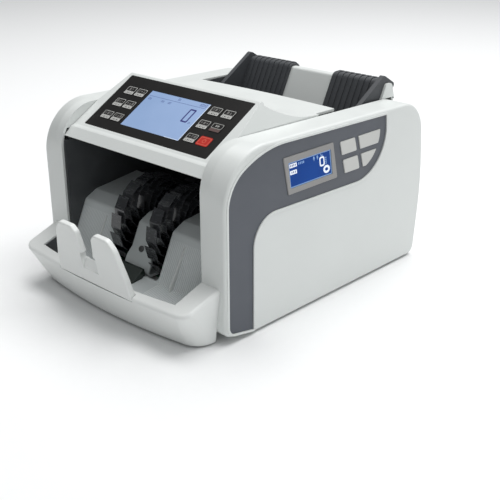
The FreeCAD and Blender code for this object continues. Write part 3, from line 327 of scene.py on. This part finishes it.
# painted highlight: the plate's own grey plastic painted lighter, so the ribs read as lit lines
RIB_HIGHLIGHT_GREY = plastic("stacker_rib_painted_highlight", (0.74, 0.775, 0.775), 0.34, 0.05, 0.4, 0.016, 0.25, 0.3)
SMOKED = plastic("smoked", (0.020, 0.028, 0.024), 0.16, 0.1, 2.0, 0.004, 0.2, 0.3)
PIN_BRASS = metal("pin_brass", (0.62, 0.56, 0.42), 0.25, (1, 20, 1))
DARK_STEEL = metal("dark_steel", (0.16, 0.16, 0.16), 0.34, (1, 1, 1))

SLOT_OF = {part["node"]: part["material_slot"] for part in RECORD["subparts"]}
for node, obj in NODES.items():
    obj.data.materials.clear()
    obj.data.materials.append(LOOKS[SLOT_OF[node]])


# ---------------------------------------------------------------- mesh pieces
SHARP_ANGLE = math.radians(35)


class Piece:
    """Mesh of one added piece, gathered solid by solid in machine millimetres."""

    def __init__(self):
        self.points = []
        self.faces = []

    def add(self, points, faces):
        start = len(self.points)
        self.points += [at(*p) for p in points]
        self.faces += [[start + i for i in face] for face in faces]

    def prism(self, low, high):
        """Closed solid between two outlines with as many points each."""
        count = len(low)
        ends = [list(range(count))[::-1], list(range(count, 2 * count))]
        sides = [[i, (i + 1) % count, count + (i + 1) % count, count + i] for i in range(count)]
        self.add(low + high, ends + sides)

    def loft(self, sections):
        """Closed solid through a run of outlines with as many points each."""
        count = len(sections[0])
        points = [p for section in sections for p in section]
        faces = [list(range(count))[::-1], [len(points) - count + i for i in range(count)]]
        for row in range(len(sections) - 1):
            a, b = row * count, (row + 1) * count
            faces += [[a + i, a + (i + 1) % count, b + (i + 1) % count, b + i] for i in range(count)]
        self.add(points, faces)

    def ring(self, loops):
        """Closed band whose cross-section is carried round by the given loops, one per corner."""
        count = len(loops[0])
        points = [p for loop in loops for p in loop]
        faces = []
        for row in range(len(loops)):
            a, b = row * count, (row + 1) % len(loops) * count
            faces += [[a + i, a + (i + 1) % count, b + (i + 1) % count, b + i] for i in range(count)]
        self.add(points, faces)

    def done(self, name, look, body, slot):
        """Make the object, carried by a body. The slot argument is not used."""
        mesh = bpy.data.meshes.new(name)
        mesh.from_pydata(self.points, [], self.faces)
        built = bmesh.new()
        built.from_mesh(mesh)
        bmesh.ops.recalc_face_normals(built, faces=built.faces)
        built.to_mesh(mesh)
        built.free()
        mesh.shade_smooth()
        mesh.set_sharp_from_angle(angle=SHARP_ANGLE)
        mesh.materials.append(look)
        piece = bpy.data.objects.new(name, mesh)
        scene.collection.objects.link(piece)
        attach(piece, body)
        return piece


class Plane:
    """Flat drawing surface: a corner point, its right and up directions, and the way out of it."""

    def __init__(self, corner, right, up):
        self.corner, self.right, self.up = Vector(corner), Vector(right), Vector(up)
        self.out = self.right.cross(self.up).normalized()

    def put(self, outline, height, shift=(0, 0)):
        """Machine points of a flat outline, raised by height."""
        base = self.corner + shift[0] * self.right + shift[1] * self.up + height * self.out
        return [tuple(base + u * self.right + v * self.up) for u, v in outline]


class Print:
    """Thin raised print on a plane, from low to high above it."""

    def __init__(self, plane, low, high):
        self.plane, self.low, self.high = plane, low, high
        self.piece = Piece()

    def plate(self, outline, shift=(0, 0)):
        low, high = [self.plane.put(outline, height, shift) for height in (self.low, self.high)]
        self.piece.prism(low, high)

    def frame(self, outer, inner, shift=(0, 0)):
        """Band between two outlines with as many points each."""
        self.piece.ring([self.plane.put(outline, height, shift) for outline, height in (
            (outer, self.low), (outer, self.high), (inner, self.high), (inner, self.low))])

    def done(self, name, look, body, slot):
        return self.piece.done(name, look, body, slot)


def round_box(x0, x1, y0, y1, radius=0.0, steps=4):
    """Outline of a rectangle with rounded corners."""
    if radius <= 0:
        return [(x0, y0), (x1, y0), (x1, y1), (x0, y1)]
    outline = []
    for x, y, start in ((x1 - radius, y0 + radius, -90), (x1 - radius, y1 - radius, 0),
                        (x0 + radius, y1 - radius, 90), (x0 + radius, y0 + radius, 180)):
        for step in range(steps + 1):
            angle = math.radians(start + 90 * step / steps)
            outline.append((x + radius * math.cos(angle), y + radius * math.sin(angle)))
    return outline


def oval(x, y, half_x, half_y, steps=20):
    """Outline of an ellipse."""
    turns = [2 * math.pi * step / steps for step in range(steps)]
    return [(x + half_x * math.cos(turn), y + half_y * math.sin(turn)) for turn in turns]


def ribbon(path, width):
    """Outline of a stroke of the given width along an open path, mitred at its corners."""
    path = [Vector(p) for p in path]
    ways = [(b - a).normalized() for a, b in zip(path, path[1:])]
    left, right = [], []
    for i, point in enumerate(path):
        before, after = ways[max(i - 1, 0)], ways[min(i, len(ways) - 1)]
        middle = (before + after).normalized()
        normal = Vector((-middle.y, middle.x))
        reach = width / 2 / max(0.4, normal.dot(Vector((-after.y, after.x))))
        left.append(tuple(point + normal * reach))
        right.append(tuple(point - normal * reach))
    return left + right[::-1]


# ---------------------------------------------------------------- operating panel
PANEL_Y, PANEL_Z, PANEL_TILT = 19.5, 154.2, math.radians(30.73)
PANEL = Plane((0, PANEL_Y, PANEL_Z), (1, 0, 0), (0, math.cos(PANEL_TILT), math.sin(PANEL_TILT)))
KEY_TOP = 0.1             # height of the key tops above the panel
INK = 0.035               # thickness of one layer of print
KEY_COLUMNS = {"left": (-66.2, -51.2), "right": (50.0, 66.2)}
KEY_ROWS = {"top": 52.0, "middle": 34.8, "bottom": 17.3}
KEY_HALF_W = 6.3          # half width of the frame printed round a key
KEY_CORNER = 1.1
SIGN = 0.95               # half width of a sign
STROKE = 0.5


def sign(kind, x):
    """Outlines of one generic sign, centred at x."""
    low, high = -1.3, 1.5
    middle = (low + high) / 2
    if kind == "bars":
        return [ribbon([(x + shift, low), (x + shift, high)], STROKE) for shift in (-0.6, 0.6)]
    if kind == "plus":
        return [ribbon([(x - SIGN, middle), (x + SIGN, middle)], STROKE),
                ribbon([(x, middle + STROKE / 2), (x, high)], STROKE),
                ribbon([(x, low), (x, middle - STROKE / 2)], STROKE)]
    if kind == "minus":
        return [ribbon([(x - SIGN, middle), (x + SIGN, middle)], STROKE)]
    if kind == "equals":
        return [ribbon([(x - SIGN, middle + shift), (x + SIGN, middle + shift)], STROKE)
                for shift in (-0.6, 0.6)]
    if kind == "up":
        return [[(x - SIGN, low), (x + SIGN, low), (x, high)]]
    if kind == "down":
        return [[(x - SIGN, high), (x, low), (x + SIGN, high)]]
    if kind == "forward":
        return [ribbon([(x - SIGN / 2, high), (x + SIGN / 2, middle), (x - SIGN / 2, low)], STROKE)]
    if kind == "dot":
        return [oval(x, middle, 0.8, 0.9, 12)]
    return [round_box(x - SIGN, x + SIGN, low, high, 0.3)]


SIGNS = {
    "left_top": (("square", "forward"), ("bars", "dot", "up")),
    "left_middle": (("square", "bars", "minus"), ("dot", "up", "square")),
    "left_bottom": (("plus", "square", "bars"), ("equals", "up", "square")),
    "right_top": (("bars", "square", "forward"), ("square", "up")),
    "right_middle": (("plus", "square", "dot"), ()),
    "right_bottom": (("dot", "bars", "square"), ()),
}


def key_outline(ink, line, shift, low=-1.4, high=4.7):
    """Printed frame of a key, with the given line width."""
    outer = round_box(-KEY_HALF_W, KEY_HALF_W, low, high, KEY_CORNER)
    inner = round_box(-KEY_HALF_W + line, KEY_HALF_W - line, low + line, high - line, KEY_CORNER - line / 2)
    ink.frame(outer, inner, shift)


def key_strip(ink, shift):
    """Printed label strip under a key's frame."""
    ink.plate(round_box(-6.2, 6.2, -4.9, -1.6, 0.5), shift)


def print_key(side, row, number):
    """Outline, signs and label strip of one key."""
    name = "key_%s_%s_%d" % (side, row, number)
    shift = (KEY_COLUMNS[side][number - 1], KEY_ROWS[row])
    body = name + "_cap"
    shortcut = name == "key_right_middle_2"
    base = Print(PANEL, KEY_TOP, KEY_TOP + INK)
    if name == "key_right_bottom_2":
        key_outline(base, 0.7, shift, -4.4, 4.4)
        base.frame(oval(0, 0, 2.2, 2.2), oval(0, 0, 1.5, 1.5), shift)
        base.plate(round_box(-0.35, 0.35, 1.0, 3.2), shift)
        base.done(name + "_print", INK_SCARLET, body, "key_red")
        return
    key_outline(base, 0.5, shift)
    if shortcut:
        for x in (-2.1, 0.3):
            base.plate([(x, 0.2), (x + 2.1, 1.7), (x, 3.2)], shift)
    else:
        key_strip(base, shift)
    base.done(name + "_print", INK_PALE if shortcut else INK_STRIP, body, "key_black")
    if shortcut:
        strip = Print(PANEL, KEY_TOP, KEY_TOP + INK)
        key_strip(strip, shift)
        strip.done(name + "_strip", INK_DIM, body, "key_black")
        return
    marks = Print(PANEL, KEY_TOP, KEY_TOP + INK)
    signs = SIGNS[side + "_" + row][number - 1]
    for place, kind in enumerate(signs):
        x = (place - (len(signs) - 1) / 2) * 2.9
        for outline in sign(kind, x):
            marks.plate([(u * 1.15, v * 1.15 + 1.6) for u, v in outline], shift)
    marks.done(name + "_signs", INK_GREY, body, "key_black")
    ticks = Print(PANEL, KEY_TOP + INK, KEY_TOP + 2 * INK)
    for place in range(5):
        x = -4.1 + place * 2.0
        high = (-2.5, -2.9, -2.5, -2.4, -2.9)[(place + number) % 5]
        ticks.plate(round_box(x - 0.28, x + 0.28 + 0.5 * (place % 2), -4.1, high), shift)
    ticks.done(name + "_ticks", INK_DARK, body, "key_black")


for side in KEY_COLUMNS:
    for row in KEY_ROWS:
        for number in (1, 2):
            print_key(side, row, number)


# ---------------------------------------------------------------- main display
LCD_TOP = -0.5            # the display lies this far below the panel's surface
digit = Print(PANEL, LCD_TOP, LCD_TOP + INK)
digit.frame(round_box(21.6, 29.8, 31.6, 48.4, 1.4), round_box(23.2, 28.2, 33.3, 46.7, 0.7))
digit.done("display_digit", LCD_NAVY, "cover", "lcd_main")

status = Print(PANEL, LCD_TOP, LCD_TOP + INK)
status.plate(round_box(-38.4, 37.4, 52.0, 52.4))
for x0, x1, q0, q1 in ((-1.6, -0.3, 54.2, 57.0), (0.3, 1.7, 54.2, 56.4), (27.6, 29.4, 53.8, 56.6),
                       (30.0, 31.8, 53.8, 57.0), (32.5, 34.3, 53.8, 56.6), (34.9, 36.4, 53.8, 57.0)):
    status.frame(round_box(x0, x1, q0, q1), round_box(x0 + 0.4, x1 - 0.4, q0 + 0.5, q1 - 0.5))
for x0, x1, q0, q1 in ((-37.0, -35.2, 47.4, 50.2), (-34.6, -33.0, 47.4, 49.6), (-19.0, -17.4, 47.6, 49.8),
                       (-16.8, -15.2, 47.6, 49.8), (-9.6, -8.6, 47.6, 49.8), (-8.2, -6.0, 47.6, 50.0)):
    status.frame(round_box(x0, x1, q0, q1), round_box(x0 + 0.4, x1 - 0.4, q0 + 0.5, q1 - 0.5))
status.frame(oval(33.0, 32.4, 1.3, 1.2, 14), oval(33.0, 32.4, 0.8, 0.7, 14))
status.done("display_status", LCD_SOFT, "cover", "lcd_main")

# painted highlight: glowing pale strips along the display's right and bottom edges
glint = Print(PANEL, LCD_TOP, LCD_TOP + INK)
glint.plate(round_box(38.1, 38.9, 11.0, 58.0))
glint.plate(round_box(20.0, 38.0, 10.7, 11.2))
glint.done("display_edge", LCD_GLINT, "cover", "lcd_main")


# ---------------------------------------------------------------- side display
GLASS_X = 124.1
GLASS_LEAN = 0.165
GLASS_LOW = 122.4
GLASS_FOOT_Y = 76.4 + GLASS_LEAN * (149.8 - GLASS_LOW)
GLASS = Plane((GLASS_X, GLASS_FOOT_Y, GLASS_LOW), (0, 1, 0), (0, -GLASS_LEAN, 1))
GLASS_W, GLASS_H = 57.5, 24.0

edge = Print(GLASS, 0.0, INK)
edge.frame(round_box(0.1, GLASS_W - 0.1, 0.1, GLASS_H - 0.1, 0.4),
           round_box(1.2, GLASS_W - 1.2, 1.1, GLASS_H - 1.1, 0.3))
edge.done("side_display_edge", LCD_SKY, "housing", "lcd_side")

labels = Print(GLASS, 0.0, INK)
labels.plate(round_box(1.6, 11.2, 18.6, 22.3, 0.3))
labels.plate(round_box(1.6, 10.6, 12.2, 16.0, 0.3))
labels.frame(oval(50.4, 6.4, 4.6, 3.9), oval(50.4, 6.4, 2.2, 1.6))
labels.frame(round_box(41.4, 48.4, 10.4, 19.8, 2.2), round_box(42.9, 46.9, 12.0, 18.2, 1.2))
labels.done("side_display_symbols", LCD_WHITE, "housing", "lcd_side")

faint = Print(GLASS, 0.0, INK)
for x in (13.2, 15.4, 17.6, 19.6):
    faint.plate(round_box(x, x + 1.3, 19.4, 21.6, 0.2))
for x in (34.2, 39.0):
    faint.plate(oval(x, 20.6, 1.1, 1.7, 12))
    faint.plate(round_box(x - 0.3, x + 0.3, 18.0, 18.9))
faint.plate(ribbon([(43.6, 22.4), (44.4, 20.8), (46.6, 20.6)], 1.0))
for q in (11.6, 13.4, 15.2, 17.0):
    faint.plate(round_box(49.4, 51.2, q, q + 1.1, 0.2))
faint.done("side_display_marks", LCD_SKY, "housing", "lcd_side")

ticks = Print(GLASS, INK, 2 * INK)
for x0, q0 in ((2.8, 19.6), (4.8, 19.6), (6.8, 19.6), (8.8, 19.6), (3.6, 13.2), (5.8, 13.2), (8.0, 13.2)):
    ticks.plate(round_box(x0, x0 + 1.0, q0, q0 + 1.8))
ticks.done("side_display_ticks", LCD_NAVY, "housing", "lcd_side")


# ---------------------------------------------------------------- stacker ribs, fins and sensor
FLOOR_FRONT, SLOPE_FOOT, SLOPE_TOP = (-27.4, 26.5), (0.8, 30.0), (19.2, 69.2)
RIB_INNER_X, RIB_PITCH, RIB_COUNT = 38.4, 2.2, 25
FIN_X = 56.0


def rounded_path(start, corner, end, radius, steps=6):
    """Open path of two runs with a round bend between them."""
    start, corner, end = Vector(start), Vector(corner), Vector(end)
    into, away = (start - corner).normalized(), (end - corner).normalized()
    half = into.angle(away) / 2
    reach = radius / math.tan(half)
    centre = corner + (into + away).normalized() * (radius / math.sin(half))
    first, last = corner + into * reach - centre, corner + away * reach - centre
    bend = [centre + first.lerp(last, i / steps).normalized() * radius for i in range(steps + 1)]
    return [start] + bend + [end]


def rounded_profile(points, radius, steps=4):
    """Closed outline whose corners are rounded by the given radius."""
    outline = []
    for i, point in enumerate(points):
        path = rounded_path(points[i - 1], point, points[(i + 1) % len(points)], radius, steps)
        outline += [tuple(p) for p in path[1:-1]]
    return outline


def lay_rib(piece, x, path, width, height, fade):
    """Low rib along a path of (y, z) points, with a rounded back and ends that sink into the plate."""
    profile = [(-0.5, -0.4), (-0.36, 0.7), (0.0, 1.0), (0.36, 0.7), (0.5, -0.4)]
    sections = []
    for i, point in enumerate(path):
        way = (path[min(i + 1, len(path) - 1)] - path[max(i - 1, 0)]).normalized()
        out = Vector((-way.y, way.x))
        tall = height * (fade if i in (0, len(path) - 1) else 1.0)
        section = []
        for across, up in profile:
            y, z = point + out * (up * tall if up > 0 else up * height)
            section.append((x + across * width, y, z))
        sections.append(section)
    piece.loft(sections)


rib_path = rounded_path(FLOOR_FRONT, SLOPE_FOOT, SLOPE_TOP, 4.0)
fin_path = rounded_path((-3.0, 29.5), SLOPE_FOOT, (18.0, 66.7), 4.0)
for side, name in ((1, "right"), (-1, "left")):
    ribs = Piece()
    for i in range(RIB_COUNT):
        lay_rib(ribs, side * (RIB_INNER_X + i * RIB_PITCH), rib_path, 1.0, 0.5, 0.1)
    # ribs carry the lighter painted-highlight grey of the plate
    ribs.done("stacker_ribs_" + name, RIB_HIGHLIGHT_GREY, "housing", "stacker_grey")
    fin = Piece()
    lay_rib(fin, side * FIN_X, fin_path, 1.8, 4.6, 0.15)
    # painted highlight: the fin on the grey plate is painted in the white tray plastic so it reads as a lit
    # edge
    fin.done("stacker_fin_" + name, LOOKS["tray_white"], "housing", "stacker_grey")


def tray_sensor():
    """Smoked wedge in front of the tongue: its window rises towards the back."""
    side = rounded_profile([(3.2, 27.4), (-13.0, 27.4), (-13.0, 29.6), (0.4, 38.2), (3.2, 38.2)], 1.0)
    middle_y, middle_z = -4.0, 31.0
    sections = []
    for x, scale in ((-16.6, 0.9), (-16.0, 0.975), (-15.4, 1.0), (15.4, 1.0), (16.0, 0.975), (16.6, 0.9)):
        sections.append([(x, middle_y + (y - middle_y) * scale, middle_z + (z - middle_z) * scale)
                         for y, z in side])
    piece = Piece()
    piece.loft(sections)
    piece.done("tray_sensor", SMOKED, "housing", "stacker_grey")


tray_sensor()


# ---------------------------------------------------------------- screws, feet and socket pins
def screw_head(piece, point, out, radius=3.0, height=1.8):
    """Pan head with a cross recess: a round rim and four raised quarters round the cross."""
    point, out = Vector(point), Vector(out).normalized()
    right = Vector((1, 0, 0))
    up = out.cross(right).normalized()

    def spot(r, turn, h):
        return tuple(point + right * (r * math.cos(turn)) + up * (r * math.sin(turn)) + out * h)

    steps = 24
    turns = [2 * math.pi * i / steps for i in range(steps)]
    shoulder = 0.74 * height
    crown = height - shoulder
    rim = [(radius, 0.0), (radius, 0.45 * height), (0.93 * radius, 0.72 * height), (0.90 * radius, shoulder)]
    piece.loft([[spot(r, turn, h) for turn in turns] for r, h in rim])
    slot, inner = 0.36, 1.75    # half width of the cross's arms, and their reach
    for quarter in range(4):
        start = quarter * math.pi / 2
        sections = []
        for spread, lift in ((0.90, -0.1), (0.90, 0.0), (0.80, 0.62 * crown), (0.55, crown)):
            outline = []
            reach = radius * spread
            tip = math.asin(slot / reach)
            for i in range(9):
                turn = start + tip + (math.pi / 2 - 2 * tip) * i / 8
                outline.append(spot(reach, turn, shoulder + lift))
            for r, off in ((inner, math.pi / 2), (slot * 1.42, math.pi / 4), (inner, 0.0)):
                lean = math.asin(min(1.0, slot / r)) * (1 if off == 0.0 else -1)
                turn = start + off + (lean if off != math.pi / 4 else 0.0)
                outline.append(spot(min(r, reach * 0.93), turn, shoulder + lift))
            sections.append(outline)
        piece.loft(sections)


REAR_SCREWS = ((-84.0, 282.2, 20.0), (84.0, 282.2, 20.0), (-84.0, 280.0, 120.0), (84.0, 280.0, 120.0))
TONGUE_SCREW, TONGUE_OUT = (0, 13.8, 50.0), (0, -0.9037, 0.4280)
heads = Piece()
for point in REAR_SCREWS:
    screw_head(heads, point, (0, 1, 0))
heads.done("rear_screw_heads", LOOKS["steel"], "housing", "steel")
head = Piece()
screw_head(head, TONGUE_SCREW, TONGUE_OUT)
tongue_head = head.done("tongue_screw_head", DARK_STEEL, "housing", "steel")
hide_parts("screws")

FOOT_PLACES = [(x, y) for x in (-109.0, 109.0) for y in (50.0, 256.0)]
FOOT_RINGS = ((7.2, 0.0), (8.0, -0.5), (7.6, -1.5), (7.2, -1.9), (6.4, -2.0), (5.2, -2.0), (4.9, -1.7),
              (2.6, -1.7), (2.2, -1.2))      # radius and height of each ring of a foot
feet = Piece()
for x, y in FOOT_PLACES:
    feet.loft([[(px, py, z) for px, py in oval(x, y, r, r, 40)] for r, z in FOOT_RINGS])
foot_piece = feet.done("moulded_feet", LOOKS["foot_rubber"], "housing", "foot_rubber")
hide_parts("rubber_feet")

INLET_X, INLET_Z = 64.0, 34.0
pins = Piece()
for x, z in ((-7, -2), (7, -2), (0, 2)):
    sections = []
    for y, half_x, half_z in ((266.0, 1.05, 2.55), (279.4, 1.05, 2.55), (280.4, 0.6, 1.9)):
        outline = round_box(INLET_X + x - half_x, INLET_X + x + half_x,
                            INLET_Z + z - half_z, INLET_Z + z + half_z, 0.3, 2)
        sections.append([(px, y, pz) for px, pz in outline])
    pins.loft(sections)
pins.done("inlet_pins", PIN_BRASS, "housing", "steel")


# ---------------------------------------------------------------- camera, floor and light
CAMERA_PLACE = (597.85, -468.25, 377.07)
CAMERA_TILT, CAMERA_TURN = 66.68, 43.54     # degrees up from straight down, and round from facing back
LENS = 63.777
BRIGHT_WAY = (0.74, 0.30, 0.60)             # towards the brightest part of the studio
DIM, BRIGHT = 0.05, 0.54
FLOOR_SIZE = 6.0

scene.view_settings.view_transform = "Standard"
camera = bpy.data.objects.new("camera", bpy.data.cameras.new("camera"))
scene.collection.objects.link(camera)
camera.location = at(*CAMERA_PLACE)
camera.rotation_euler = (math.radians(CAMERA_TILT), 0.0, math.radians(CAMERA_TURN))
camera.data.sensor_width = 36.0
camera.data.lens = LENS
scene.camera = camera


def studio_world():
    """Soft studio: bright wall to the right and behind, dim room to the front and left."""
    world = bpy.data.worlds.new("studio")
    scene.world = world
    world.use_nodes = True
    tree = world.node_tree
    place = tree.nodes.new("ShaderNodeTexCoord")
    dot = tree.nodes.new("ShaderNodeVectorMath")
    dot.operation = "DOT_PRODUCT"
    tree.links.new(place.outputs["Generated"], dot.inputs[0])
    dot.inputs[1].default_value = Vector(BRIGHT_WAY).normalized()
    ramp = tree.nodes.new("ShaderNodeMapRange")
    ramp.interpolation_type = "SMOOTHERSTEP"
    for name, value in {"From Min": -1.0, "From Max": 1.0, "To Min": DIM, "To Max": BRIGHT}.items():
        ramp.inputs[name].default_value = value
    tree.links.new(dot.outputs["Value"], ramp.inputs["Value"])
    background = tree.nodes["Background"]
    background.inputs["Color"].default_value = (0.97, 0.985, 1.0, 1.0)
    tree.links.new(ramp.outputs[0], background.inputs["Strength"])


def softbox(name, place, aim, width, height, power):
    """Rectangular lamp with its face turned to the aim point."""
    light = bpy.data.lights.new(name, "AREA")
    light.shape = "RECTANGLE"
    light.size = width
    light.size_y = height
    light.energy = power
    lamp = bpy.data.objects.new(name, light)
    scene.collection.objects.link(lamp)
    lamp.location = place
    direction = Vector(aim) - Vector(place)
    lamp.rotation_euler = direction.to_track_quat("-Z", "Y").to_euler()


def paper_floor():
    """Large sheet of pale paper under the machine."""
    half = FLOOR_SIZE / 2
    mesh = bpy.data.meshes.new("floor")
    corners = [(-half, -half, 0), (half, -half, 0), (half, half, 0), (-half, half, 0)]
    mesh.from_pydata(corners, [], [(0, 1, 2, 3)])
    sheet = bpy.data.objects.new("floor", mesh)
    scene.collection.objects.link(sheet)
    look = Look("floor_paper")
    paper = look.mix(look.noise(8, 3), (0.88, 0.885, 0.885), (0.90, 0.905, 0.905))
    mesh.materials.append(look.finish(Base_Color=paper, Roughness=0.9))
    return sheet


studio_world()
softbox("overhead", (0.1, 0.6, 2.0), (0, 0, 0), 2.2, 1.8, 48)
floor = paper_floor()
